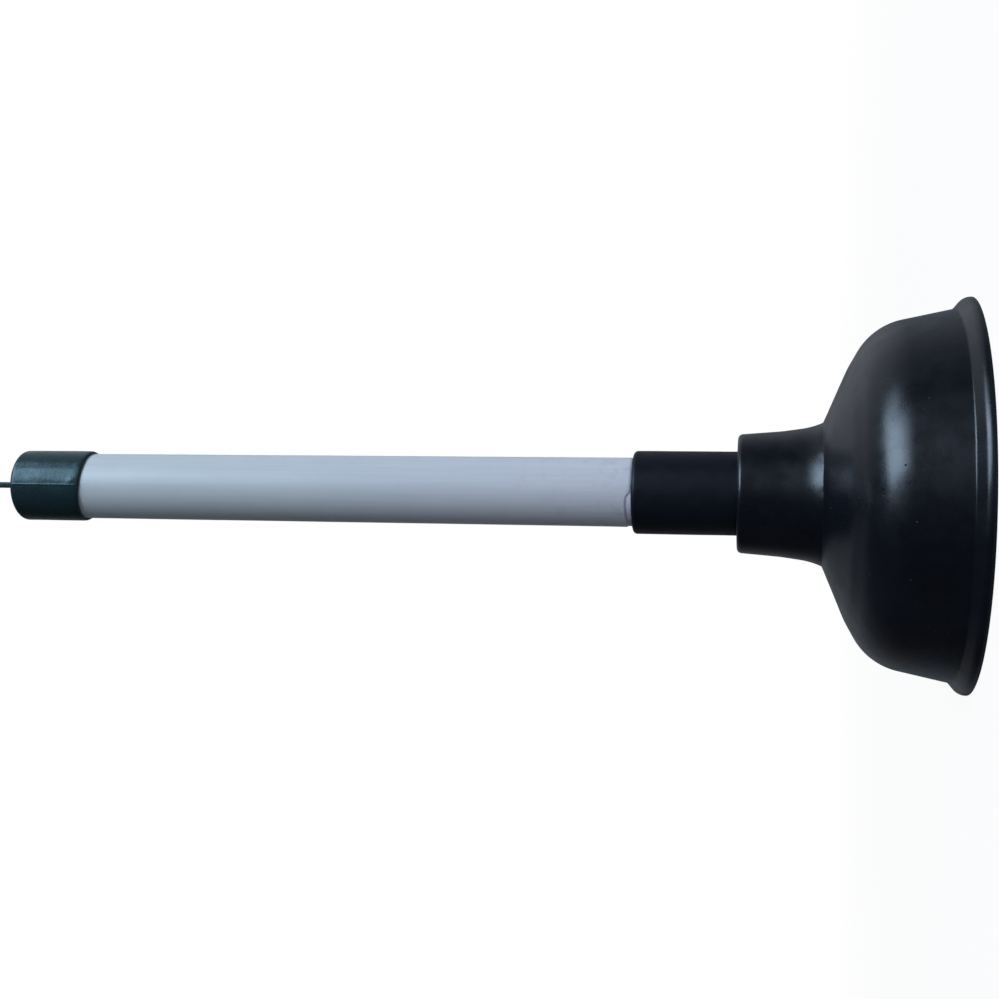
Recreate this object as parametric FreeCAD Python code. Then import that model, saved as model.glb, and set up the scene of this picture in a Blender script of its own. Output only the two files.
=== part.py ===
"""Sink plunger: a moulded rubber cup on a plastic-skinned steel tube handle.

The plunger stands on its rim. +Z runs up the handle, and the origin is the centre of the rim's
flat sealing face. All dimensions are in millimetres.
"""

import FreeCAD, Part

import math
import os

# Rubber cup, outside
RIM_R = 60.0            # outer radius of the sealing rim
RIM_EDGE = 0.3
BEAD_Z = 2.0            # corner of the bead's upright band and its bevel
BEAD_ROUND = 3.2
CREASE_R = 56.5         # the bevel meets the skirt here
CREASE_Z = 4.9
CREASE_ROUND = 1.0
SHOULDER_R = 51.7       # corner of skirt and crown, before rounding
SHOULDER_Z = 28.3
SHOULDER_ROUND = 19.0
CROWN_R = 39.0          # the crown steepens a little here
CROWN_Z = 35.4
CROWN_ROUND = 30.0
COLLAR_FOOT_R = 22.2    # the collar meets the crown in a crease
COLLAR_FOOT_Z = 42.4
COLLAR_FOOT_ROUND = 0.6
FLARE_R = 20.75         # the collar's foot flares out below this
FLARE_Z = 46.0
FLARE_ROUND = 12.0
WAIST_R = 19.5
WAIST_Z = 54.9
WAIST_ROUND = 45.0
COLLAR_TOP_R = 18.45
COLLAR_TOP_Z = 68.2
COLLAR_EDGE = 1.1

# Rubber cup, inside
SKIRT_WALL = 3.2
CROWN_WALL = 4.2
LIP_ROUND = 1.6         # rounding inside the sealing face
WEB_ROUND = 4.0
WEB_Z = 38.2            # underside of the web that closes the cup
SCREW_HOLE_R = 2.5
FIT_GAP = 0.03          # between the rubber and what is held in it

# Neck sleeve: the plastic socket that holds the handle in the rubber collar
SLEEVE_R = 13.2
SLEEVE_TOP_Z = 100.6
SLEEVE_EDGE = 1.3
SPIGOT_FOOT_Z = 44.2    # the sleeve's foot rests on the web
FOOT_R = 15.8
FOOT_T = 3.0
BARB_DEPTH = 1.1
BARB_HEIGHT = 4.5
BARB_PITCH = 5.5
BARB_COUNT = 3
BARB_TOP_Z = 65.0
SOCKET_R = 10.75
SOCKET_FLOOR_Z = 49.0
BOSS_R = 5.0
BOSS_TOP_Z = 64.0
PILOT_R = 2.1
PILOT_TOP_Z = 61.0
LEAD_IN = 0.9           # chamfer at the socket's mouth
SMALL_ROUND = 0.4       # on hidden corners

# Fasteners inside the cup
WASHER_R = 14.0
WASHER_T = 1.5
WASHER_HOLE_R = 2.75
WASHER_EDGE = 0.15
WASHER_SEAT_Z = WEB_Z - FIT_GAP - WASHER_T
HEAD_R = 4.8
HEAD_H = 3.2
HEAD_ROUND = 2.2
RECESS_ARM = 5.0        # cross recess: length, width and depth of each arm
RECESS_WIDTH = 1.2
RECESS_DEPTH = 1.8
SHANK_R = 1.9
THREAD_R = 2.4
THREAD_PITCH = 1.8      # drawn as separate ridges, not as a helix
THREAD_COUNT = 10
SCREW_TIP_Z = 60.0

# Handle
TUBE_R = 10.7
TUBE_WALL = 0.6
TUBE_EDGE = 0.15
TUBE_TOP_Z = 307.6
FILM_T = 0.3
FILM_FOOT_Z = 101.7     # the film's cut edge, on the axis
FILM_SLANT = 0.9        # the edge rises this much from the axis to the tube's side
FILM_HIGH_SIDE = 180.0  # heading of the edge's highest point, in degrees from +X
BUSH_FLANGE = 2.0
BUSH_FOOT_Z = SOCKET_FLOOR_Z + FIT_GAP
BUSH_TOP_Z = 74.0
TUBE_FOOT_Z = BUSH_FOOT_Z + BUSH_FLANGE
BUSH_CLEARANCE = 0.2    # around the socket's boss

# End cap with its hanging tab
CAP_R = 12.0
CAP_LIP_Z = 286.0       # the open edge, on the axis
CAP_SLANT = 1.5         # the edge is trimmed a little out of square
CAP_HIGH_SIDE = 140.0
CAP_TOP_Z = 310.2
CAP_EDGE = 1.6
SEAM_WIDTH = 0.35       # mould parting line down both sides
SEAM_HEIGHT = 0.12
SEAM_X = 0.4            # it runs just beside the tab's middle plane
TAB_T = 2.0
TAB_W = 14.0
TAB_TOP_Z = 328.2
TAB_FLARE = 2.4         # the tab widens into the cap's end
EYE_R = 4.0
EYE_Z = 320.7
ROOT_SLOPE = 0.9        # bevel along both sides of the tab's root
ROOT_DEPTH = 1.0        # the tab runs this far into the cap's end

FILM_R = TUBE_R + FILM_T
LINE_TURN = 1e-6        # a corner that turns less than this is straight


def vector(r, z):
    return FreeCAD.Vector(r, 0, z)


def rounded_wire(corners):
    """A closed wire in the XZ plane through (r, z, rounding) corners, with tangent arcs."""
    starts, ends, arcs = [], [], []
    count = len(corners)
    for i, (r, z, rounding) in enumerate(corners):
        here = vector(r, z)
        back = vector(*corners[i - 1][:2]) - here
        ahead = vector(*corners[(i + 1) % count][:2]) - here
        back.normalize()
        ahead.normalize()
        turn = math.pi - back.getAngle(ahead)
        if rounding <= 0 or turn < LINE_TURN:
            starts.append(here)
            ends.append(here)
            arcs.append(None)
            continue
        reach = rounding * math.tan(turn / 2)
        middle = back + ahead
        middle.normalize()
        centre = here + middle * (rounding / math.cos(turn / 2))
        towards = here - centre
        towards.normalize()
        starts.append(here + back * reach)
        ends.append(here + ahead * reach)
        arcs.append(centre + towards * rounding)
    edges = []
    for i in range(count):
        if arcs[i] is not None:
            edges.append(Part.Arc(starts[i], arcs[i], ends[i]).toShape())
        following = starts[(i + 1) % count]
        if (following - ends[i]).Length > LINE_TURN:
            edges.append(Part.LineSegment(ends[i], following).toShape())
    return Part.Wire(edges)


def revolve(corners):
    """A solid of revolution about Z from a profile of (r, z, rounding) corners."""
    face = Part.Face(rounded_wire(corners))
    solid = face.revolve(FreeCAD.Vector(0, 0, 0), FreeCAD.Vector(0, 0, 1), 360)
    return Part.Solid(solid) if solid.ShapeType == "Shell" else solid


def box(x_size, y_size, z_low, z_high):
    """A box centred on the Z axis."""
    corner = FreeCAD.Vector(-x_size / 2, -y_size / 2, z_low)
    return Part.makeBox(x_size, y_size, z_high - z_low, corner)


def half_space_below(z, rise, heading):
    """A large block whose top face crosses the axis at z and rises in the direction of heading."""
    size = 4 * CAP_R
    angle = math.degrees(math.atan2(rise, CAP_R))
    block = box(size, size, z - size, z)
    block.rotate(FreeCAD.Vector(0, 0, z), FreeCAD.Vector(0, 1, 0), -angle)
    block.rotate(FreeCAD.Vector(0, 0, z), FreeCAD.Vector(0, 0, 1), heading)
    return block


def offset_line(a, b, distance):
    """The line a-b moved by distance towards the axis side, as a point and a direction."""
    along = vector(*b) - vector(*a)
    along.normalize()
    normal = vector(-along.z, along.x)
    return vector(*a) + normal * distance, along


def crossing(first, second):
    """(r, z) where two lines, each a point and a direction, cross."""
    (p, u), (q, v) = first, second
    step = (q - p).cross(v).y / u.cross(v).y
    at = p + u * step
    return at.x, at.z


def spigot_corners(gap=0.0):
    """The spigot's outline, or its pocket's with a gap, from the top: saw-tooth barbs, then the foot."""
    stem = SLEEVE_R + gap
    foot_top = SPIGOT_FOOT_Z + FOOT_T + gap
    corners = []
    for i in range(BARB_COUNT):
        top = BARB_TOP_Z - i * BARB_PITCH + gap
        corners.append((stem, top, 0))
        corners.append((stem + BARB_DEPTH, top, 0))
        corners.append((stem, top - BARB_HEIGHT, 0))
    corners.append((stem, foot_top, 0))
    corners.append((FOOT_R + gap, foot_top, 0))
    corners.append((FOOT_R + gap, SPIGOT_FOOT_Z - gap, 0))
    return corners


def rubber_cup():
    """Rim bead, skirt, crown and collar: one rubber moulding, bored for the sleeve's spigot."""
    crease = (CREASE_R, CREASE_Z)
    shoulder = (SHOULDER_R, SHOULDER_Z)
    crown = (CROWN_R, CROWN_Z)
    inner_skirt = offset_line(crease, shoulder, SKIRT_WALL)
    inner_crown = offset_line(shoulder, crown, CROWN_WALL)
    floor_line = (vector(0, 0), vector(1, 0))
    web_line = (vector(0, WEB_Z), vector(1, 0))
    inner_shoulder = crossing(inner_skirt, inner_crown)
    inner_foot = crossing(inner_skirt, floor_line)
    web_edge = crossing(inner_crown, web_line)
    corners = [
        (RIM_R, 0, RIM_EDGE),
        (RIM_R, BEAD_Z, BEAD_ROUND),
        (*crease, CREASE_ROUND),
        (*shoulder, SHOULDER_ROUND),
        (*crown, CROWN_ROUND),
        (COLLAR_FOOT_R, COLLAR_FOOT_Z, COLLAR_FOOT_ROUND),
        (FLARE_R, FLARE_Z, FLARE_ROUND),
        (WAIST_R, WAIST_Z, WAIST_ROUND),
        (COLLAR_TOP_R, COLLAR_TOP_Z, COLLAR_EDGE),
        (SLEEVE_R + FIT_GAP, COLLAR_TOP_Z, 0),
        *spigot_corners(FIT_GAP),
        (SCREW_HOLE_R, SPIGOT_FOOT_Z - FIT_GAP, 0),
        (SCREW_HOLE_R, WEB_Z, 0),
        (*web_edge, WEB_ROUND),
        (*inner_shoulder, SHOULDER_ROUND - CROWN_WALL),
        (*inner_foot, LIP_ROUND),
    ]
    return revolve(corners)


def neck_sleeve():
    """The socket: barbed spigot and foot in the rubber, a bore for the tube, a boss for the screw."""
    corners = [
        (SLEEVE_R, SLEEVE_TOP_Z, SLEEVE_EDGE),
        *spigot_corners(),
        (PILOT_R, SPIGOT_FOOT_Z, 0),
        (PILOT_R, PILOT_TOP_Z, 0),
        (0, PILOT_TOP_Z + PILOT_R / 2, 0),
        (0, BOSS_TOP_Z, 0),
        (BOSS_R, BOSS_TOP_Z, SMALL_ROUND),
        (BOSS_R, SOCKET_FLOOR_Z, 0),
        (SOCKET_R, SOCKET_FLOOR_Z, 0),
        (SOCKET_R, SLEEVE_TOP_Z - LEAD_IN, 0),
        (SOCKET_R + LEAD_IN / 2, SLEEVE_TOP_Z, 0),
    ]
    return revolve(corners)


def cup_washer():
    """Plain steel washer under the web."""
    top = WASHER_SEAT_Z + WASHER_T
    return revolve([
        (WASHER_HOLE_R, WASHER_SEAT_Z, WASHER_EDGE),
        (WASHER_R, WASHER_SEAT_Z, SMALL_ROUND),
        (WASHER_R, top, WASHER_EDGE),
        (WASHER_HOLE_R, top, WASHER_EDGE),
    ])


def retaining_screw():
    """Pan-head tapping screw up through the washer and web into the sleeve's boss."""
    crown = WASHER_SEAT_Z - HEAD_H
    corners = [
        (0, crown, 0),
        (HEAD_R, crown, HEAD_ROUND),
        (HEAD_R, WASHER_SEAT_Z, WASHER_EDGE),
        (SHANK_R, WASHER_SEAT_Z, 0),
    ]
    for i in range(THREAD_COUNT):
        root = WEB_Z + i * THREAD_PITCH
        corners.append((SHANK_R, root, 0))
        corners.append((THREAD_R, root + THREAD_PITCH / 3, 0))
        corners.append((SHANK_R, root + THREAD_PITCH * 2 / 3, 0))
    corners.append((SHANK_R, SCREW_TIP_Z - THREAD_R, 0))
    corners.append((0, SCREW_TIP_Z, 0))
    top = crown + RECESS_DEPTH
    cross = box(RECESS_ARM, RECESS_WIDTH, 0, top).fuse(box(RECESS_WIDTH, RECESS_ARM, 0, top))
    return revolve(corners).cut(cross).Solids[0]


def tube_bush():
    """Plastic bush pressed into the tube's foot; it fits over the socket's boss."""
    bore = BOSS_R + BUSH_CLEARANCE
    return revolve([
        (bore, BUSH_FOOT_Z, 0),
        (TUBE_R, BUSH_FOOT_Z, SMALL_ROUND),
        (TUBE_R, TUBE_FOOT_Z, 0),
        (TUBE_R - TUBE_WALL, TUBE_FOOT_Z, 0),
        (TUBE_R - TUBE_WALL, BUSH_TOP_Z, SMALL_ROUND),
        (bore, BUSH_TOP_Z, SMALL_ROUND),
    ])


def handle_tube():
    """Thin-walled steel tube, from the bush's flange to the end cap."""
    return revolve([
        (TUBE_R - TUBE_WALL, TUBE_FOOT_Z, 0),
        (TUBE_R, TUBE_FOOT_Z, TUBE_EDGE),
        (TUBE_R, TUBE_TOP_Z, TUBE_EDGE),
        (TUBE_R - TUBE_WALL, TUBE_TOP_Z, 0),
    ])


def handle_film():
    """Plastic skin on the tube. Its foot is cut a little askew, just clear of the sleeve."""
    skin = revolve([
        (TUBE_R, SLEEVE_TOP_Z, 0),
        (FILM_R, SLEEVE_TOP_Z, 0),
        (FILM_R, TUBE_TOP_Z, 0),
        (TUBE_R, TUBE_TOP_Z, 0),
    ])
    below = half_space_below(FILM_FOOT_Z, FILM_SLANT, FILM_HIGH_SIDE)
    return skin.cut(below).Solids[0]


def hanging_tab():
    """Flat tab parallel to the YZ plane with a round eye, widening at its root."""
    root_z = CAP_TOP_Z - ROOT_DEPTH
    half = TAB_W / 2
    crown = TAB_TOP_Z - half
    x = -TAB_T / 2
    left_foot = FreeCAD.Vector(x, -half - TAB_FLARE, root_z)
    right_foot = FreeCAD.Vector(x, half + TAB_FLARE, root_z)
    waist_z = CAP_TOP_Z + TAB_FLARE
    left_waist = FreeCAD.Vector(x, -half, waist_z)
    right_waist = FreeCAD.Vector(x, half, waist_z)
    left_crown = FreeCAD.Vector(x, -half, crown)
    right_crown = FreeCAD.Vector(x, half, crown)
    summit = FreeCAD.Vector(x, 0, TAB_TOP_Z)
    edges = [
        Part.LineSegment(left_foot, left_waist).toShape(),
        Part.LineSegment(left_waist, left_crown).toShape(),
        Part.Arc(left_crown, summit, right_crown).toShape(),
        Part.LineSegment(right_crown, right_waist).toShape(),
        Part.LineSegment(right_waist, right_foot).toShape(),
        Part.LineSegment(right_foot, left_foot).toShape(),
    ]
    plate = Part.Face(Part.Wire(edges)).extrude(FreeCAD.Vector(TAB_T, 0, 0))
    eye_start = FreeCAD.Vector(-TAB_T, 0, EYE_Z)
    eye = Part.makeCylinder(EYE_R, 2 * TAB_T, eye_start, FreeCAD.Vector(1, 0, 0))
    plate = plate.cut(eye)
    slope = [
        FreeCAD.Vector(x - ROOT_SLOPE, -half, root_z),
        FreeCAD.Vector(x - ROOT_SLOPE, -half, CAP_TOP_Z),
        FreeCAD.Vector(x, -half, CAP_TOP_Z + ROOT_SLOPE),
        FreeCAD.Vector(x + TAB_T, -half, CAP_TOP_Z + ROOT_SLOPE),
        FreeCAD.Vector(x + TAB_T + ROOT_SLOPE, -half, CAP_TOP_Z),
        FreeCAD.Vector(x + TAB_T + ROOT_SLOPE, -half, root_z),
    ]
    ridge = Part.Face(Part.makePolygon(slope + slope[:1])).extrude(FreeCAD.Vector(0, TAB_W, 0))
    return plate.fuse(ridge)


def end_cap():
    """Moulded cap over the tube's top, with its parting line and hanging tab."""
    lowest = CAP_LIP_Z - 2 * CAP_SLANT
    shell = revolve([
        (0, TUBE_TOP_Z, 0),
        (FILM_R, TUBE_TOP_Z, 0),
        (FILM_R, lowest, 0),
        (CAP_R, lowest, 0),
        (CAP_R, CAP_TOP_Z, CAP_EDGE),
        (0, CAP_TOP_Z, 0),
    ])
    seam = box(SEAM_WIDTH, 2 * (CAP_R + SEAM_HEIGHT), lowest, CAP_TOP_Z - CAP_EDGE)
    seam.translate(FreeCAD.Vector(SEAM_X, 0, 0))
    bore = Part.makeCylinder(FILM_R, CAP_TOP_Z, FreeCAD.Vector(0, 0, 0))
    seam = seam.cut(bore)
    cap = shell.fuse(seam).fuse(hanging_tab()).removeSplitter()
    return cap.cut(half_space_below(CAP_LIP_Z, CAP_SLANT, CAP_HIGH_SIDE)).Solids[0]


PARTS = [
    rubber_cup,
    neck_sleeve,
    cup_washer,
    retaining_screw,
    tube_bush,
    handle_tube,
    handle_film,
    end_cap,
]


def main():
    os.makedirs("parts", exist_ok=True)
    for make in PARTS:
        shape = make()
        name = make.__name__
        print(name, shape.ShapeType, len(shape.Solids), shape.isValid(), round(shape.Volume, 1))
        shape.exportStep(f"parts/{name}.step")


main()
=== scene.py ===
"""A sink plunger: looks for a black rubber cup, neck sleeve, plastic-skinned tube handle and end cap.

The row frame has its origin at the centre of the rim's flat face, +Z up the handle, and metres as
its unit. The object's own sizes are written in millimetres, and its meshes are turned into metres
when they are made. Azimuths round the handle are measured from +X towards +Y.
"""

import math

import bmesh
import bpy
from mathutils import Matrix, Vector, noise


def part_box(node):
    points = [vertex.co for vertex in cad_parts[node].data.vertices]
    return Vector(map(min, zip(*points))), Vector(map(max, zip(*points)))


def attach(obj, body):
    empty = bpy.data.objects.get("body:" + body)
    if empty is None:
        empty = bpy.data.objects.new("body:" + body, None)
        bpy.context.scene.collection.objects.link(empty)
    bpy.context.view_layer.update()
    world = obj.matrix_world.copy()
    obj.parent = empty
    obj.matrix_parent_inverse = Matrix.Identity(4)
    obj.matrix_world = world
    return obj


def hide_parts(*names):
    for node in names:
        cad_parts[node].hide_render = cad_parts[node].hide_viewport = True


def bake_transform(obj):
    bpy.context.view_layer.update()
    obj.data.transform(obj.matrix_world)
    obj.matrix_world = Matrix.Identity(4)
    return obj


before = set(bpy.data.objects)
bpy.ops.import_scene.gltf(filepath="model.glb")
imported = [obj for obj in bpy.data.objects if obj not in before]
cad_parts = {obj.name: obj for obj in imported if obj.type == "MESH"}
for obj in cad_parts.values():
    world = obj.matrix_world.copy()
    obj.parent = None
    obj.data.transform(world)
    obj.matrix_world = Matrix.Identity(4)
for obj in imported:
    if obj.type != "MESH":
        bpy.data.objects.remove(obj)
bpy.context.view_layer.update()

MM = 0.001
SHARP_ANGLE = math.radians(32)
ARC_STEP = math.radians(7)


def reach(node):
    """Outer radius, foot and top of a CAD node that stands round the Z axis, in millimetres."""
    low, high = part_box(node)
    return [round(value / MM, 2) for value in (high.x, low.z, high.z)]


# ---------------------------------------------------------------- sizes in millimetres

# Sizes that the frame gives
RIM_R, _, COLLAR_TOP_Z = reach("rubber_cup")
SPIGOT_FOOT_R, SPIGOT_FOOT_Z, SLEEVE_TOP_Z = reach("neck_sleeve")
TUBE_R, _, _ = reach("handle_tube")
FILM_R, _, FILM_TOP_Z = reach("handle_film")
CAP_R, _, TAB_TOP_Z = reach("end_cap")

# Every _WAVES is a list of smooth noises, each with its depth, feature size and seed. What has a
# _WIDTH or _REACH falls off over that distance

# Rubber cup. Its corners are (radius, height), and its outside adds their rounding. Where the nick
# noise passes NICK_FLOOR, the groove over the bead has a nick
GROOVE = (56.5, 4.9)
SHOULDER = (51.7, 28.3)
SHOULDER_ROUND = 19.0
CROWN = (39.0, 35.4)
CREASE = (22.2, 42.4)
CUP_OUTSIDE = [
    (RIM_R, 0.0, 0.3),
    (RIM_R, 2.0, 3.2),
    (*GROOVE, 1.0),
    (*SHOULDER, SHOULDER_ROUND),
    (*CROWN, 30.0),
    (*CREASE, 0.6),
    (20.75, 46.0, 24.0),
    (19.5, 54.9, 45.0),
    (18.45, COLLAR_TOP_Z, 1.5),
]
SKIRT_WALL = 3.2
CROWN_WALL = 4.2
WEB_Z = 38.2
WEB_ROUND = 4.0
INNER_FOOT_ROUND = 1.6
SCREW_HOLE_R = 2.5
FIT_GAP = 0.03
CUP_WAVES = [(0.07, 26.0, 0.0), (0.02, 9.0, 3.0)]
CREASE_WAVES = [(0.10, 5.0, 7.0), (0.06, 1.6, 0.0)]
CREASE_WIDTH = 0.7
CREASE_TILT = 0.5
TILT_WIDTH = 3.0
GROOVE_WAVES = [(0.03, 2.2, 5.0)]
GROOVE_WIDTH = 0.5
GROOVE_INNER_R = 54.0
NICK_WAVES = [(0.6, 4.0, 11.0)]
NICK_FLOOR = 0.228
RIM_MARGIN = 0.6

# Neck sleeve
SLEEVE_R = 13.2
SLEEVE_EDGE = 1.3
SOCKET_R = 10.75
SOCKET_FLOOR_Z = 49.0
SOCKET_ROUND = 0.3
BOSS_R = 5.0
BOSS_TOP_Z = 64.0
BOSS_ROUND = 0.4
PILOT_R = 2.1
PILOT_TOP_Z = 61.0
LEAD_IN = 0.9
LEAD_ROUND = 0.15
SPIGOT_FOOT_TOP_Z = 47.2
BARB_DEPTH = 1.1
BARB_HEIGHT = 4.5
BARB_TOPS = (65.0, 59.5, 54.0)
SLEEVE_WAVES = [(0.05, 11.0, 2.0)]
SLEEVE_SINK = 0.05

# Handle's skin. Its cut foot steps up between two azimuths and down between two others, in degrees
FILM_LOW_Z = 100.85
FILM_BORE_GAP = 0.01
FOOT_CLEAR = 0.08
FOOT_STEP = 1.45
STEP_UP = (75.0, 135.0)
STEP_DOWN = (260.0, 272.0)
FOOT_REACH = 12.0
RAGGED_WAVES = [(0.12, 2.6, 4.0), (0.05, 0.8, 0.0)]
RAGGED_LEAST = 0.25
CURL = 0.056
CURL_WAVES = [(0.064, 3.0, 9.0)]
CURL_ABOVE = 0.6
CURL_WIDTH = 0.4
WORN = 0.22
WORN_REACH = 0.5
PUCKER = 0.05
PUCKER_WAVES = [(0.05, 1.8, 1.0)]
PUCKER_REACH = 2.5
FILM_WAVES = [(0.03, 30.0, 6.0)]
FILM_SINK = 0.03
FINE_GAP = 0.1
FINE_RINGS = 8
GAP_GROWTH = 0.22
WIDE_GAP = 2.0

# End cap
CAP_LIP_Z = 286.0
CAP_TOP_Z = 310.2
CAP_SLANT = 1.5
CAP_HIGH_SIDE = math.radians(140.0)
CAP_EDGE = 1.6
CAP_GAP = 0.02
LIP_ROUND = 0.75
LIP_DRAW = 0.22
LIP_HEIGHT = 1.7
BORE_MARGIN = 0.15
BORE_ROUND = 0.2
SEAM_X = 0.4
SEAM_RIDGE = 0.06
SEAM_WIDTH = 0.13
SEAM_SLOPE = 0.10
SEAM_REACH = 1.4
CAP_WAVES = [(0.05, 8.0, 8.0), (0.02, 3.0, 2.0)]
CAP_SINK = 0.08
KNOCK = 0.17
KNOCK_X = 1.8
KNOCK_WIDTH = 1.2
KNOCK_ABOVE = 2.9
KNOCK_HEIGHT = 1.0

# Hanging tab
TAB_T = 2.0
TAB_W = 14.0
TAB_FLARE = 2.4
FLARE_Y = 2.16
TAB_ROOT = 0.8
TAB_EDGE = 0.35
ROOT_FILLET = 0.7
ROOT_TURN = math.radians(40)
ROOT_MARGIN = 0.02
EYE_R = 4.0
EYE_Z = 320.7

# ---------------------------------------------------------------- stage sizes in metres and degrees

CAMERA_DISTANCE = 0.440
CAMERA_HEIGHT = 0.0598
CAMERA_PAN = math.radians(-0.366)
CAMERA_TILT = math.radians(10.83)
CAMERA_ROLL = math.radians(89.25)
LENS_MM = 50.0
SENSOR_MM = 36.0

FLOOR_R = 6.0
FLOOR_Z = -0.0002
FLOOR_NEAR = 0.15
FLOOR_FAR = 0.9
FLOOR_GLOW = 0.93
FLOOR_BOUNCE = (0.26, 0.25, 0.26)

SURROUNDINGS = (0.82, 0.90, 1.0, 1.0)
DIM = 0.035
GLOWS = [  # direction, cosine where the glow begins, strength
    ((0.63, 0.44, 0.64), 0.62, 0.40),
    ((0.10, 1.0, 0.0), 0.20, 0.19),
    ((0.50, -0.86, 0.06), 0.78, 0.17),
]

LIGHT_AIM = Vector((0, 0, 0.12))
LIGHT_DISTANCE = 2.4
LIGHT_COLOUR = (0.63, 0.84, 1.08)
WINDOWS = [  # name, azimuth, elevation, width, height, watts
    ("window", 37.5, 48.0, 1.42, 1.25, 49.5),
    ("window_side", 73.0, 46.0, 0.55, 1.10, 8.0),
    ("window_foot", 38.0, 28.5, 1.60, 0.42, 6.8),
]


# ---------------------------------------------------------------- outlines and meshes

def rounded_outline(corners, step):
    """Points (r, z, corner number) of a closed outline, at most step millimetres apart."""
    spans = []
    count = len(corners)
    for i, (r, z, rounding) in enumerate(corners):
        here = Vector((r, z))
        back = (Vector(corners[i - 1][:2]) - here).normalized()
        ahead = (Vector(corners[(i + 1) % count][:2]) - here).normalized()
        turn = math.pi - back.angle(ahead)
        if rounding <= 0 or turn < 1e-5:
            spans.append([here])
            continue
        middle = (back + ahead).normalized()
        centre = here + middle * (rounding / math.cos(turn / 2))
        start = here + back * rounding * math.tan(turn / 2) - centre
        pieces = max(3, math.ceil(turn / ARC_STEP), math.ceil(turn * rounding / step))
        way = 1 if back.x * ahead.y < back.y * ahead.x else -1
        spans.append([centre + Matrix.Rotation(way * turn * k / pieces, 2) @ start
                      for k in range(pieces + 1)])
    points = []
    for i, span in enumerate(spans):
        points += [(p.x, p.y, i) for p in span]
        end, following = span[-1], spans[(i + 1) % count][0]
        pieces = max(1, math.ceil((following - end).length / step))
        for k in range(1, pieces):
            p = end.lerp(following, k / pieces)
            points.append((p.x, p.y, i + 0.5))
    return points


def outline_normals(points):
    """Outward unit normals of an outline that runs anticlockwise in (r, z)."""
    normals = []
    for i in range(len(points)):
        before, after = points[i - 1], points[(i + 1) % len(points)]
        along = Vector((after[0] - before[0], after[1] - before[1])).normalized()
        normals.append(Vector((along.y, -along.x)))
    return normals


def shade(mesh):
    """Smooth shading, with the corners past SHARP_ANGLE left crisp."""
    mesh.polygons.foreach_set("use_smooth", [True] * len(mesh.polygons))
    mesh.set_sharp_from_angle(angle=SHARP_ANGLE)


def link_mesh(name, bm):
    """A linked, shaded object from a bmesh in millimetres."""
    bmesh.ops.recalc_face_normals(bm, faces=bm.faces)
    mesh = bpy.data.meshes.new(name)
    bm.to_mesh(mesh)
    bm.free()
    mesh.transform(Matrix.Scale(MM, 4))
    shade(mesh)
    obj = bpy.data.objects.new(name, mesh)
    bpy.context.scene.collection.objects.link(obj)
    return obj


def revolve(points, sides, shape, crowd=0.0):
    """A closed bmesh of revolution. shape(r, z, corner, normal, azimuth) gives the moved (r, z).

    crowd, under 0.5, brings the sides closer together where the surface crosses the YZ plane.
    """
    bm = bmesh.new()
    rings = []
    for (r, z, corner), normal in zip(points, outline_normals(points)):
        if r < 1e-6:
            rings.append([bm.verts.new((0, 0, z))])
            continue
        ring = []
        for k in range(sides):
            turn = 2 * math.pi * k / sides
            azimuth = turn + crowd * math.sin(2 * turn)
            new_r, new_z = shape(r, z, corner, normal, azimuth)
            ring.append(bm.verts.new((new_r * math.cos(azimuth), new_r * math.sin(azimuth), new_z)))
        rings.append(ring)
    for i, ring in enumerate(rings):
        following = rings[(i + 1) % len(rings)]
        if len(ring) == 1 and len(following) == 1:
            continue
        for k in range(sides):
            j = (k + 1) % sides
            corners = [ring[k % len(ring)], ring[j % len(ring)],
                       following[j % len(following)], following[k % len(following)]]
            bm.faces.new(list(dict.fromkeys(corners)))
    bmesh.ops.delete(bm, geom=[v for v in bm.verts if not v.link_faces], context="VERTS")
    return bm


def unevenness(waves, r, z, azimuth):
    """The sum of smooth noises at a place on a surface of revolution."""
    at = Vector((r * math.cos(azimuth), r * math.sin(azimuth), z))
    return sum(depth * noise.noise(at / size + Vector((seed, 0, 0))) for depth, size, seed in waves)


def bell(distance, width):
    """1 at no distance, falling smoothly to almost 0 at twice the width."""
    return math.exp(-(distance / width) ** 2)


def smoothstep(value, low, high):
    """0 up to low, 1 from high on, and smooth in between."""
    share = min(1.0, max(0.0, (value - low) / (high - low)))
    return share * share * (3 - 2 * share)


def arc(centre, radii, start, end, pieces):
    """Points on an elliptical arc between two angles, both ends included."""
    angles = [start + (end - start) * k / pieces for k in range(pieces + 1)]
    return [(centre[0] + radii[0] * math.cos(a), centre[1] + radii[1] * math.sin(a)) for a in angles]


def line_crossing(p, u, q, v):
    """Where the line through p along u meets the line through q along v, in the (r, z) plane."""
    step = ((q.x - p.x) * v.y - (q.y - p.y) * v.x) / (u.x * v.y - u.y * v.x)
    return p + u * step


def spigot_corners(gap=0.0):
    """The sleeve's spigot inside the collar, from its top barb down to its foot."""
    stem = SLEEVE_R + gap
    corners = []
    for top in BARB_TOPS:
        corners += [(stem, top + gap, 0), (stem + BARB_DEPTH, top + gap, 0),
                    (stem, top + gap - BARB_HEIGHT, 0)]
    return corners + [(stem, SPIGOT_FOOT_TOP_Z + gap, 0), (SPIGOT_FOOT_R + gap, SPIGOT_FOOT_TOP_Z + gap, 0),
                      (SPIGOT_FOOT_R + gap, SPIGOT_FOOT_Z - gap, 0)]


# ---------------------------------------------------------------- the rubber cup

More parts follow.
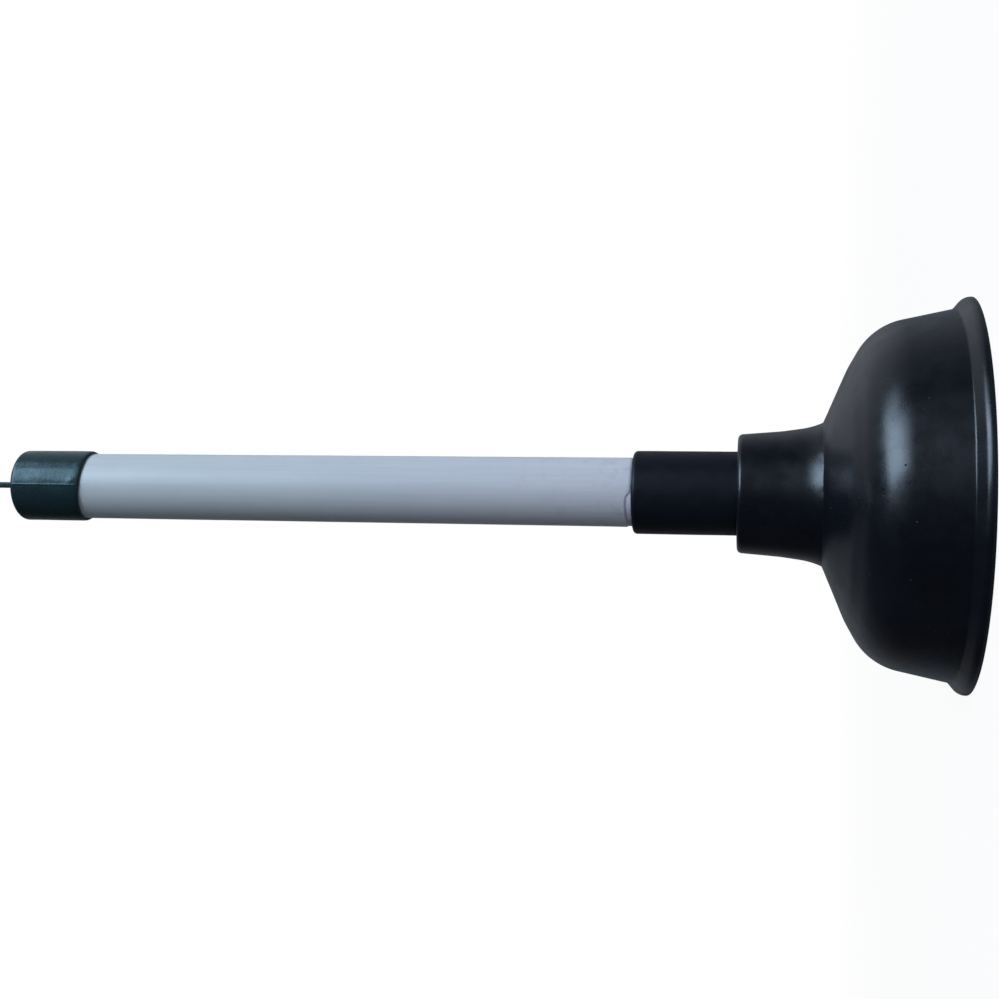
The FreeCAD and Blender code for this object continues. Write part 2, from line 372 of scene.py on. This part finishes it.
def cup_outline():
    """The cup's closed section: outside, collar top, spigot pocket, web and inside."""
    groove, shoulder, crown = Vector(GROOVE), Vector(SHOULDER), Vector(CROWN)
    skirt = (shoulder - groove).normalized()
    slope = (crown - shoulder).normalized()
    skirt_in = groove + Vector((-skirt.y, skirt.x)) * SKIRT_WALL
    slope_in = shoulder + Vector((-slope.y, slope.x)) * CROWN_WALL
    level = Vector((1, 0))
    web_edge = line_crossing(slope_in, slope, Vector((0, WEB_Z)), level)
    inner_shoulder = line_crossing(skirt_in, skirt, slope_in, slope)
    inner_foot = line_crossing(skirt_in, skirt, Vector((0, 0)), level)
    return CUP_OUTSIDE + [
        (SLEEVE_R + FIT_GAP, COLLAR_TOP_Z, 0),
        *spigot_corners(FIT_GAP),
        (SCREW_HOLE_R, SPIGOT_FOOT_Z - FIT_GAP, 0),
        (SCREW_HOLE_R, WEB_Z, 0),
        (*web_edge, WEB_ROUND),
        (*inner_shoulder, SHOULDER_ROUND - CROWN_WALL),
        (*inner_foot, INNER_FOOT_ROUND),
    ]


def cup_shape(r, z, corner, normal, azimuth):
    """Moulding waviness, an uneven, tilted crease at the collar's foot and nicks along the groove."""
    if corner > len(CUP_OUTSIDE) - 1:
        return r, z
    above_crease = z - CREASE[1]
    in_groove = bell(z - GROOVE[1], GROOVE_WIDTH) * (r > GROOVE_INNER_R)
    nicks = max(0.0, unevenness(NICK_WAVES, r, 0, azimuth) - NICK_FLOOR)
    wave = unevenness(CUP_WAVES, r, z, azimuth)
    wave += bell(above_crease, CREASE_WIDTH) * unevenness(CREASE_WAVES, r, 0, azimuth)
    wave += in_groove * (nicks + unevenness(GROOVE_WAVES, r, 0, azimuth))
    wave *= min(1.0, max(0.0, RIM_R - r) / RIM_MARGIN) * min(1.0, z / RIM_MARGIN)
    tilt = -CREASE_TILT * math.sin(azimuth) * bell(above_crease, TILT_WIDTH)
    return r + normal.x * wave, z + normal.y * wave + tilt


def make_cup():
    points = rounded_outline(cup_outline(), step=0.9)
    obj = link_mesh("rubber_cup_moulding", revolve(points, sides=288, shape=cup_shape))
    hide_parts("rubber_cup")
    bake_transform(obj)
    return obj


# ---------------------------------------------------------------- the neck sleeve

def sleeve_shape(r, z, corner, normal, azimuth):
    """Faint sink marks in the moulded sleeve's outside."""
    if r < SLEEVE_R - SLEEVE_EDGE or z < COLLAR_TOP_Z:
        return r, z
    wave = unevenness(SLEEVE_WAVES, r, z, azimuth) - SLEEVE_SINK
    return r + normal.x * wave, z + normal.y * wave


def make_sleeve():
    corners = [
        (SLEEVE_R, SLEEVE_TOP_Z, SLEEVE_EDGE),
        (SOCKET_R + LEAD_IN / 2, SLEEVE_TOP_Z, LEAD_ROUND),
        (SOCKET_R, SLEEVE_TOP_Z - LEAD_IN, SOCKET_ROUND),
        (SOCKET_R, SOCKET_FLOOR_Z, SOCKET_ROUND),
        (BOSS_R, SOCKET_FLOOR_Z, SOCKET_ROUND),
        (BOSS_R, BOSS_TOP_Z, BOSS_ROUND),
        (0, BOSS_TOP_Z, 0),
        (0, PILOT_TOP_Z + PILOT_R / 2, 0),
        (PILOT_R, PILOT_TOP_Z, 0),
        (PILOT_R, SPIGOT_FOOT_Z, 0),
        *reversed(spigot_corners()),
    ]
    points = rounded_outline(corners, step=1.2)
    obj = link_mesh("neck_sleeve_moulding", revolve(points, sides=160, shape=sleeve_shape))
    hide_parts("neck_sleeve")
    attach(obj, "neck")
    return obj


# ---------------------------------------------------------------- the handle's skin

def film_edge_z(azimuth):
    """Height of the skin's cut foot: it stops short of the sleeve on the -X side, and is ragged."""
    degrees = math.degrees(azimuth) % 360
    raised = smoothstep(degrees, *STEP_UP) - smoothstep(degrees, *STEP_DOWN)
    ragged = (RAGGED_LEAST + raised) * unevenness(RAGGED_WAVES, FILM_R, 0, azimuth)
    return FILM_LOW_Z + FOOT_CLEAR + FOOT_STEP * raised + ragged


def film_shape(r, z, outside, normal, azimuth):
    """The foot follows its ragged cut, is worn thin and curls outward; the rest is almost true."""
    above = z - FILM_LOW_Z
    near = max(0.0, 1.0 - above / FOOT_REACH)
    z += (film_edge_z(azimuth) - FILM_LOW_Z) * near ** 2
    if not outside:
        return r, z
    curl = bell(above - CURL_ABOVE, CURL_WIDTH) * (CURL + unevenness(CURL_WAVES, r, 0, azimuth))
    worn = WORN * math.exp(-above / WORN_REACH)
    pucker = math.exp(-above / PUCKER_REACH) * (PUCKER + unevenness(PUCKER_WAVES, r, 0, azimuth))
    wave = unevenness(FILM_WAVES, r, z, azimuth) - FILM_SINK
    return r + curl - worn + pucker + wave, z


def film_rows():
    """Heights of the skin's rings: close together at its foot, then wider apart."""
    heights = [FILM_LOW_Z + FINE_GAP * k for k in range(FINE_RINGS)]
    while heights[-1] < FILM_TOP_Z - WIDE_GAP:
        gap = min(WIDE_GAP, (heights[-1] - FILM_LOW_Z) * GAP_GROWTH)
        heights.append(heights[-1] + gap)
    return heights + [FILM_TOP_Z]


def make_film():
    heights = film_rows()
    points = [(FILM_R, z, True) for z in heights]
    points += [(TUBE_R + FILM_BORE_GAP, z, False) for z in reversed(heights)]
    obj = link_mesh("handle_skin", revolve(points, sides=192, shape=film_shape))
    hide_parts("handle_film")
    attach(obj, "handle")
    return obj


# ---------------------------------------------------------------- the end cap

def cap_shape(r, z, corner, normal, azimuth):
    """Slanted, drawn-in lip with a knock above it; a fine ridge and a change of slope at the seam."""
    low = CAP_LIP_Z + CAP_SLANT * r / CAP_R * math.cos(azimuth - CAP_HIGH_SIDE)
    if z < CAP_TOP_Z - CAP_EDGE:
        stretch = min(1.0, (CAP_TOP_Z - z) / (CAP_TOP_Z - CAP_LIP_Z))
        z += (low - CAP_LIP_Z) * stretch ** 2
    if r < FILM_R + BORE_MARGIN:
        return r, z
    x = r * math.cos(azimuth)
    from_seam = abs(x - SEAM_X)
    ridge = SEAM_RIDGE * bell(from_seam, SEAM_WIDTH)
    slope = SEAM_SLOPE * from_seam * math.exp(-from_seam / SEAM_REACH)
    above = z - low
    lip = LIP_DRAW * max(0.0, 1.0 - above / LIP_HEIGHT) ** 2
    knock = KNOCK * bell(above - KNOCK_ABOVE, KNOCK_HEIGHT) * bell(x - KNOCK_X, KNOCK_WIDTH)
    knock *= math.sin(azimuth) < 0
    wave = unevenness(CAP_WAVES, r, z, azimuth) - CAP_SINK
    return r + (ridge - slope - lip + knock + wave) * abs(normal.x), z


def tab_outlines():
    """The hanging tab's edge, clockwise seen from +X, and its eye, anticlockwise, as (y, z)."""
    half = TAB_W / 2
    side = [(-half - TAB_FLARE, CAP_TOP_Z - TAB_ROOT)]
    side += arc((-half - FLARE_Y, CAP_TOP_Z + TAB_FLARE), (FLARE_Y, TAB_FLARE), -math.pi / 2, 0, 8)
    arch = arc((0, TAB_TOP_Z - half), (half, half), math.pi, 0, 40)
    eye = arc((0, EYE_Z), (EYE_R, EYE_R), 0, 2 * math.pi, 64)[:-1]
    return side + arch + [(-y, z) for y, z in reversed(side)], eye


def tab_bmesh():
    """A flat plate between those outlines, with all its edges rounded."""
    sections = arc((TAB_EDGE - TAB_T / 2, TAB_EDGE), (TAB_EDGE, TAB_EDGE), math.pi, 1.5 * math.pi, 4)
    sections += [(-x, inset) for x, inset in reversed(sections)]
    bm = bmesh.new()
    flat_edges = ([], [])
    for loop in tab_outlines():
        count = len(loop)
        normals = outline_normals(loop)
        rings = []
        for x, inset in sections:
            rings.append([bm.verts.new((x, y + inset * normal.x, z + inset * normal.y))
                          for (y, z), normal in zip(loop, normals)])
        for lower, upper in zip(rings, rings[1:]):
            for i in range(count):
                bm.faces.new((lower[i - 1], lower[i], upper[i], upper[i - 1]))
        for edges, ring in zip(flat_edges, (rings[0], rings[-1])):
            edges += [bm.edges.get((ring[i - 1], ring[i])) for i in range(count)]
    for edges in flat_edges:
        bmesh.ops.triangle_fill(bm, use_beauty=True, edges=edges)
    return bm


def make_cap():
    corners = [
        (FILM_R + CAP_GAP, CAP_LIP_Z, BORE_MARGIN),
        (CAP_R, CAP_LIP_Z, LIP_ROUND),
        (CAP_R, CAP_TOP_Z, CAP_EDGE),
        (0, CAP_TOP_Z, 0),
        (0, FILM_TOP_Z + CAP_GAP, 0),
        (FILM_R + CAP_GAP, FILM_TOP_Z + CAP_GAP, BORE_ROUND),
    ]
    points = rounded_outline(corners, step=0.8)
    obj = link_mesh("end_cap_moulding", revolve(points, sides=288, shape=cap_shape, crowd=0.35))
    join(obj, link_mesh("tab_blank", tab_bmesh()))
    soften_root(obj.data)
    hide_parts("end_cap")
    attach(obj, "handle")
    return obj


def join(obj, other):
    """Adds the other object's solid to obj and removes the other object."""
    union = obj.modifiers.new("union", "BOOLEAN")
    union.operation = "UNION"
    union.solver = "EXACT"
    union.object = other
    depsgraph = bpy.context.evaluated_depsgraph_get()
    joined = bpy.data.meshes.new_from_object(obj.evaluated_get(depsgraph))
    obj.modifiers.clear()
    obj.data = joined
    bpy.data.objects.remove(other)


def soften_root(mesh):
    """A fillet where the tab meets the cap's end."""
    bm = bmesh.new()
    bm.from_mesh(mesh)

    def at_root(vert):
        x, y, z = (abs(value) / MM for value in vert.co)
        return (x < TAB_T / 2 + ROOT_MARGIN and y < CAP_R - CAP_EDGE
                and abs(z - CAP_TOP_Z) < ROOT_MARGIN)

    root = [edge for edge in bm.edges
            if all(at_root(vert) for vert in edge.verts)
            and not edge.is_convex and edge.calc_face_angle(0) > ROOT_TURN]
    bmesh.ops.bevel(bm, geom=root, offset=ROOT_FILLET * MM, segments=4, affect="EDGES", profile=0.5)
    bm.to_mesh(mesh)
    bm.free()
    shade(mesh)


# ---------------------------------------------------------------- materials

class Nodes:
    """Short ways to add and join the nodes of one tree."""

    def __init__(self, tree):
        self.tree = tree

    def fill(self, node, values):
        for key, value in values.items():
            socket = node.inputs[key.replace("_", " ") if isinstance(key, str) else key]
            if isinstance(value, bpy.types.NodeSocket):
                self.tree.links.new(value, socket)
            else:
                socket.default_value = value

    def add(self, kind, settings=None, inputs=None):
        node = self.tree.nodes.new(kind)
        for key, value in (settings or {}).items():
            setattr(node, key, value)
        self.fill(node, inputs or {})
        return node

    def ramp(self, value, low, high, to_low=0.0, to_high=1.0):
        """to_low up to low, to_high from high on, and smooth in between."""
        return self.add("ShaderNodeMapRange", {"interpolation_type": "SMOOTHSTEP"}, {
            "Value": value, "From Min": low, "From Max": high, "To Min": to_low, "To Max": to_high,
        }).outputs["Result"]

    def math(self, operation, a, b):
        return self.add("ShaderNodeMath", {"operation": operation}, {0: a, 1: b}).outputs[0]

    def seen_by_camera(self):
        """1 for what the camera sees directly and 0 for what lights or is mirrored in the object."""
        return self.add("ShaderNodeLightPath").outputs["Is Camera Ray"]

    def towards_white(self, share, shader):
        """The shader, with white light in its place for that share."""
        glow = self.add("ShaderNodeEmission", inputs={"Color": (1, 1, 1, 1), "Strength": 1.0})
        return self.add("ShaderNodeMixShader",
                        inputs={0: share, 1: shader, 2: glow.outputs[0]}).outputs[0]


class Shader(Nodes):
    """A Principled material and the patterns that its looks are made of."""

    def __init__(self, name, **surface):
        self.material = bpy.data.materials.new(name)
        self.material.use_nodes = True
        super().__init__(self.material.node_tree)
        self.surface = self.tree.nodes["Principled BSDF"]
        self.fill(self.surface, surface)
        self.place = self.add("ShaderNodeTexCoord").outputs["Object"]

    def noise(self, size, detail, roughness=0.5, drawn=1.0):
        """Noise from 0 to 1 with features of about size metres; drawn under 1 stretches them along Z."""
        place = self.place
        if drawn < 1.0:
            place = self.add("ShaderNodeMapping",
                             inputs={"Vector": place, "Scale": (1.0, 1.0, drawn)}).outputs[0]
        return self.add("ShaderNodeTexNoise", inputs={
            "Vector": place, "Scale": 1 / size, "Detail": detail, "Roughness": roughness,
        }).outputs["Fac"]

    def specks(self, spacing, size, share):
        """Small round spots: one may stand in each cell, and share of the cells have one."""
        cells = self.add("ShaderNodeTexVoronoi", inputs={"Vector": self.place, "Scale": 1 / spacing})
        spot = self.ramp(cells.outputs["Distance"], size / spacing, size / spacing * 0.4)
        pick = self.add("ShaderNodeSeparateColor", inputs={"Color": cells.outputs["Color"]})
        return self.math("MULTIPLY", spot, self.math("LESS_THAN", pick.outputs[0], share))

    def mix(self, share, a, b):
        """Colour a, with colour b in its place for that share."""
        node = self.add("ShaderNodeMix", {"data_type": "RGBA"}, {0: share})
        for socket, colour in zip(node.inputs[6:8], (a, b)):
            if isinstance(colour, bpy.types.NodeSocket):
                self.tree.links.new(colour, socket)
            else:
                socket.default_value = (*colour, 1.0)
        return node.outputs[2]

    def height(self):
        return self.add("ShaderNodeSeparateXYZ", inputs={"Vector": self.place}).outputs["Z"]

    def facing_up(self):
        """1 where the surface faces up the handle, -1 where it faces down."""
        normal = self.add("ShaderNodeNewGeometry").outputs["Normal"]
        return self.add("ShaderNodeSeparateXYZ", inputs={"Vector": normal}).outputs["Z"]

    def bump(self, height, depth, strength, over=None):
        """A normal with the height's relief on it, laid over another normal where there is one."""
        inputs = {"Height": height, "Distance": depth, "Strength": strength}
        if over is not None:
            inputs["Normal"] = over
        return self.add("ShaderNodeBump", inputs=inputs).outputs["Normal"]

    def finish(self, colour, roughness, normal):
        self.fill(self.surface, {"Base Color": colour, "Roughness": roughness, "Normal": normal})
        return self.material


def rubber():
    """Black moulded rubber: soft mottled gloss, mould pits, a little dust and hairline scratches."""
    s = Shader("moulded_rubber", Specular_IOR_Level=0.48)
    bloom = s.ramp(s.noise(size=28 * MM, detail=4), 0.35, 0.75)
    cloud = s.noise(size=6 * MM, detail=5)
    pits = s.specks(spacing=3.8 * MM, size=0.34 * MM, share=0.22)
    dust = s.specks(spacing=3.1 * MM, size=0.16 * MM, share=0.10)
    scratch = s.ramp(s.noise(size=1.1 * MM, detail=1, drawn=0.05), 0.74, 0.78)
    colour = s.mix(bloom, (0.0038, 0.0041, 0.0066), (0.0072, 0.0076, 0.0108))
    colour = s.mix(s.math("MULTIPLY", dust, 0.3), colour, (0.08, 0.085, 0.09))
    colour = s.mix(s.math("MULTIPLY", pits, 0.7), colour, (0.004, 0.004, 0.005))
    rough = s.ramp(cloud, 0.3, 0.7, to_low=0.24, to_high=0.32)
    rough = s.math("ADD", rough, s.math("MULTIPLY", pits, 0.3))
    rough = s.math("SUBTRACT", rough, s.math("MULTIPLY", scratch, 0.1))
    normal = s.bump(s.noise(size=0.6 * MM, detail=4, roughness=0.65), depth=0.03 * MM, strength=0.55)
    normal = s.bump(cloud, depth=0.18 * MM, strength=0.35, over=normal)
    normal = s.bump(pits, depth=-0.12 * MM, strength=0.9, over=normal)
    return s.finish(colour, rough, normal)


def sleeve_plastic():
    """Black polypropylene with a satin, faintly drawn surface."""
    s = Shader("sleeve_plastic", Specular_IOR_Level=0.27)
    cloud = s.noise(size=9 * MM, detail=4)
    dust = s.specks(spacing=2.9 * MM, size=0.14 * MM, share=0.08)
    drawn = s.noise(size=0.9 * MM, detail=3, drawn=0.12)
    colour = s.mix(cloud, (0.0034, 0.0039, 0.0072), (0.0062, 0.0068, 0.0112))
    colour = s.mix(s.math("MULTIPLY", dust, 0.4), colour, (0.09, 0.09, 0.10))
    rough = s.ramp(s.noise(size=4 * MM, detail=4), 0.3, 0.7, to_low=0.40, to_high=0.50)
    normal = s.bump(drawn, depth=0.05 * MM, strength=0.4)
    normal = s.bump(s.noise(size=0.5 * MM, detail=3), depth=0.03 * MM, strength=0.5, over=normal)
    return s.finish(colour, rough, normal)


def film():
    """Lavender-grey plastic skin: faint drawing lines, more handling marks and a pinker tone low down,
    which is also painted a little lighter there as painted light.

    Where the skin faces down, at the cut edge of its foot, it is painted near white: a painted highlight.
    """
    s = Shader("handle_film_plastic", Specular_IOR_Level=0.45, Diffuse_Roughness=0.2)
    cloud = s.noise(size=16 * MM, detail=4)
    lines = s.noise(size=1.0 * MM, detail=3, drawn=0.02)
    # pinker low down, and painted lighter there: painted light standing in for the window's light, which
    # falls off towards the foot
    low_pink_and_painted_light = s.ramp(s.height(), 260 * MM, 110 * MM)
    pale = s.mix(low_pink_and_painted_light, (0.735, 0.715, 0.675), (0.795, 0.720, 0.705))
    dull = s.mix(low_pink_and_painted_light, (0.695, 0.675, 0.640), (0.750, 0.675, 0.668))
    stains = s.ramp(s.noise(size=3.5 * MM, detail=5, roughness=0.6), 0.5, 0.75)
    handled = s.ramp(s.height(), 150 * MM, 104 * MM, to_low=0.04, to_high=0.28)
    # painted highlight: faces that point down, such as the foot's cut edge, are painted near white
    cut = s.ramp(s.facing_up(), -0.12, -0.30)
    colour = s.mix(cloud, pale, dull)
    colour = s.mix(s.ramp(lines, 0.35, 0.8, to_high=0.16), colour, (0.46, 0.45, 0.48))
    colour = s.mix(s.math("MULTIPLY", stains, handled), colour, (0.34, 0.32, 0.34))
    # lays the painted highlight on the down-facing cut edge
    colour = s.mix(cut, colour, (0.92, 0.88, 0.92))
    rough = s.ramp(s.noise(size=6 * MM, detail=4), 0.3, 0.7, to_low=0.30, to_high=0.38)
    normal = s.bump(s.noise(size=1.4 * MM, detail=3), depth=0.04 * MM, strength=0.4)
    normal = s.bump(lines, depth=0.04 * MM, strength=0.35, over=normal)
    return s.finish(colour, rough, normal)


def cap_plastic():
    """Dark green-black plastic with a polished mould finish and a few scuffs."""
    s = Shader("cap_plastic", Specular_IOR_Level=0.42, Specular_Tint=(0.72, 0.97, 1.0, 1.0))
    cloud = s.noise(size=7 * MM, detail=4)
    scuff = s.ramp(s.noise(size=2.2 * MM, detail=5, roughness=0.65), 0.60, 0.78, to_high=0.5)
    colour = s.mix(cloud, (0.012, 0.026, 0.028), (0.019, 0.038, 0.040))
    colour = s.mix(scuff, colour, (0.034, 0.048, 0.050))
    rough = s.ramp(s.noise(size=3 * MM, detail=5), 0.3, 0.75, to_low=0.22, to_high=0.34)
    normal = s.bump(s.noise(size=4.5 * MM, detail=3), depth=0.22 * MM, strength=0.45)
    normal = s.bump(s.noise(size=0.9 * MM, detail=4), depth=0.04 * MM, strength=0.5, over=normal)
    return s.finish(colour, rough, normal)


def steel(s, dark, bright, smooth, rough):
    """Gives the shader drawing marks and small stains, and returns the colour that it set."""
    marks = s.noise(size=0.8 * MM, detail=4, drawn=0.05)
    stains = s.ramp(s.noise(size=5 * MM, detail=5, roughness=0.6), 0.35, 0.7)
    colour = s.mix(stains, dark, bright)
    s.finish(colour, s.ramp(marks, 0.25, 0.75, smooth, rough),
             s.bump(marks, depth=0.03 * MM, strength=0.4))
    return colour


def zinc(name):
    """Bright zinc plate on a fastener."""
    s = Shader(name, Metallic=1.0)
    steel(s, (0.55, 0.56, 0.58), (0.68, 0.69, 0.70), smooth=0.22, rough=0.38)
    return s.material


def tube_steel():
    """Drawn steel, with a pale pinkish band beside the skin's cut edge, painted near white partly as
    painted light against the shade that the skin's edge and the sleeve cast there.
    """
    s = Shader("tube_steel")
    bare = steel(s, (0.42, 0.42, 0.44), (0.55, 0.55, 0.57), smooth=0.36, rough=0.50)
    # pale pinkish band, partly painted light: made near white to offset the shade of the skin's edge and
    # the sleeve
    pale_band_with_painted_light = s.ramp(s.height(), 94.5 * MM, 98.5 * MM)
    s.fill(s.surface, {
        "Base Color": s.mix(pale_band_with_painted_light, bare, (0.93, 0.78, 0.85)),
        "Metallic": s.math("SUBTRACT", 0.85, s.math("MULTIPLY", pale_band_with_painted_light, 0.85)),
    })
    return s.material


def bush_plastic():
    """Dark grey plastic, dull as it comes from the mould."""
    s = Shader("bush_plastic")
    colour = s.mix(s.noise(size=4 * MM, detail=4), (0.045, 0.045, 0.05), (0.07, 0.07, 0.075))
    rough = s.ramp(s.noise(size=2 * MM, detail=3), 0.3, 0.7, to_low=0.45, to_high=0.55)
    normal = s.bump(s.noise(size=0.6 * MM, detail=3), depth=0.03 * MM, strength=0.5)
    return s.finish(colour, rough, normal)


def paint(obj, material):
    obj.data.materials.clear()
    obj.data.materials.append(material)


# ---------------------------------------------------------------- stage, light and camera

def floor_look():
    """Pale and matt near the object, white further out; dim for what it throws back at the object."""
    s = Shader("pale_floor", Roughness=0.8, Specular_IOR_Level=0.2)
    seen = s.seen_by_camera()
    pale = s.mix(s.noise(size=0.3, detail=3), (0.90, 0.84, 0.80), (0.92, 0.86, 0.82))
    s.fill(s.surface, {
        "Base Color": s.mix(seen, FLOOR_BOUNCE, pale),
        "Normal": s.bump(s.noise(size=4 * MM, detail=4), depth=0.3 * MM, strength=0.15),
    })
    distance = s.add("ShaderNodeVectorMath", {"operation": "LENGTH"}, {0: s.place}).outputs["Value"]
    share = s.math("MULTIPLY", s.ramp(distance, FLOOR_NEAR, FLOOR_FAR, FLOOR_GLOW, 1.0), seen)
    s.fill(s.tree.nodes["Material Output"], {"Surface": s.towards_white(share, s.surface.outputs[0])})
    return s.material


def make_floor():
    bm = bmesh.new()
    bmesh.ops.create_circle(bm, cap_ends=True, radius=FLOOR_R, segments=96)
    mesh = bpy.data.meshes.new("floor")
    bm.to_mesh(mesh)
    bm.free()
    floor = bpy.data.objects.new("floor", mesh)
    floor.location.z = FLOOR_Z
    bpy.context.scene.collection.objects.link(floor)
    paint(floor, floor_look())


def make_world():
    """Dim cool surroundings with soft glows; the camera itself sees plain white."""
    world = bpy.data.worlds.new("studio")
    bpy.context.scene.world = world
    world.use_nodes = True
    world.node_tree.nodes.clear()
    nodes = Nodes(world.node_tree)
    way = nodes.add("ShaderNodeTexCoord").outputs["Generated"]
    strength = DIM
    for towards, start, glow in GLOWS:
        cosine = nodes.add("ShaderNodeVectorMath", {"operation": "DOT_PRODUCT"},
                           {0: way, 1: Vector(towards).normalized()}).outputs["Value"]
        strength = nodes.math("ADD", nodes.ramp(cosine, start, 1.0, to_high=glow), strength)
    ambient = nodes.add("ShaderNodeBackground", inputs={"Color": SURROUNDINGS, "Strength": strength})
    backdrop = nodes.towards_white(nodes.seen_by_camera(), ambient.outputs[0])
    nodes.add("ShaderNodeOutputWorld", inputs={"Surface": backdrop})


def direction(azimuth, elevation):
    """Unit vector: azimuth 0 is -Y, the camera's side, and 90 is +X; both in degrees."""
    a, e = math.radians(azimuth), math.radians(elevation)
    return Vector((math.sin(a) * math.cos(e), -math.cos(a) * math.cos(e), math.sin(e)))


def make_lights():
    """A wide window to the front right, its side pane and its lower pane."""
    for name, azimuth, elevation, width, height, watts in WINDOWS:
        data = bpy.data.lights.new(name, "AREA")
        data.shape = "RECTANGLE"
        data.size, data.size_y = width, height
        data.energy = watts
        data.color = LIGHT_COLOUR
        lamp = bpy.data.objects.new(name, data)
        towards = direction(azimuth, elevation)
        lamp.location = LIGHT_AIM + towards * LIGHT_DISTANCE
        lamp.rotation_euler = towards.to_track_quat("Z", "Y").to_euler()
        bpy.context.scene.collection.objects.link(lamp)


def make_camera():
    """The camera looks at the cup from the side, a little up the handle, turned on its side."""
    data = bpy.data.cameras.new("camera")
    data.lens = LENS_MM
    data.sensor_width = SENSOR_MM
    camera = bpy.data.objects.new("camera", data)
    forward = Vector((math.sin(CAMERA_PAN) * math.cos(CAMERA_TILT),
                      math.cos(CAMERA_PAN) * math.cos(CAMERA_TILT), math.sin(CAMERA_TILT)))
    level = forward.to_track_quat("-Z", "Y").to_matrix()
    turned = Matrix.Rotation(CAMERA_ROLL, 3, forward) @ level
    place = Matrix.Translation((0, -CAMERA_DISTANCE, CAMERA_HEIGHT))
    camera.matrix_world = place @ turned.to_4x4()
    bpy.context.scene.collection.objects.link(camera)
    bpy.context.scene.camera = camera
    bpy.context.scene.view_settings.view_transform = "Standard"


# ---------------------------------------------------------------- the scene

make_camera()
make_world()
make_lights()
make_floor()
paint(make_cup(), rubber())
paint(make_sleeve(), sleeve_plastic())
paint(make_film(), film())
paint(make_cap(), cap_plastic())
paint(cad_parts["handle_tube"], tube_steel())
paint(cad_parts["tube_bush"], bush_plastic())
for node in ("cup_washer", "retaining_screw"):
    paint(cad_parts[node], zinc(node + "_zinc"))
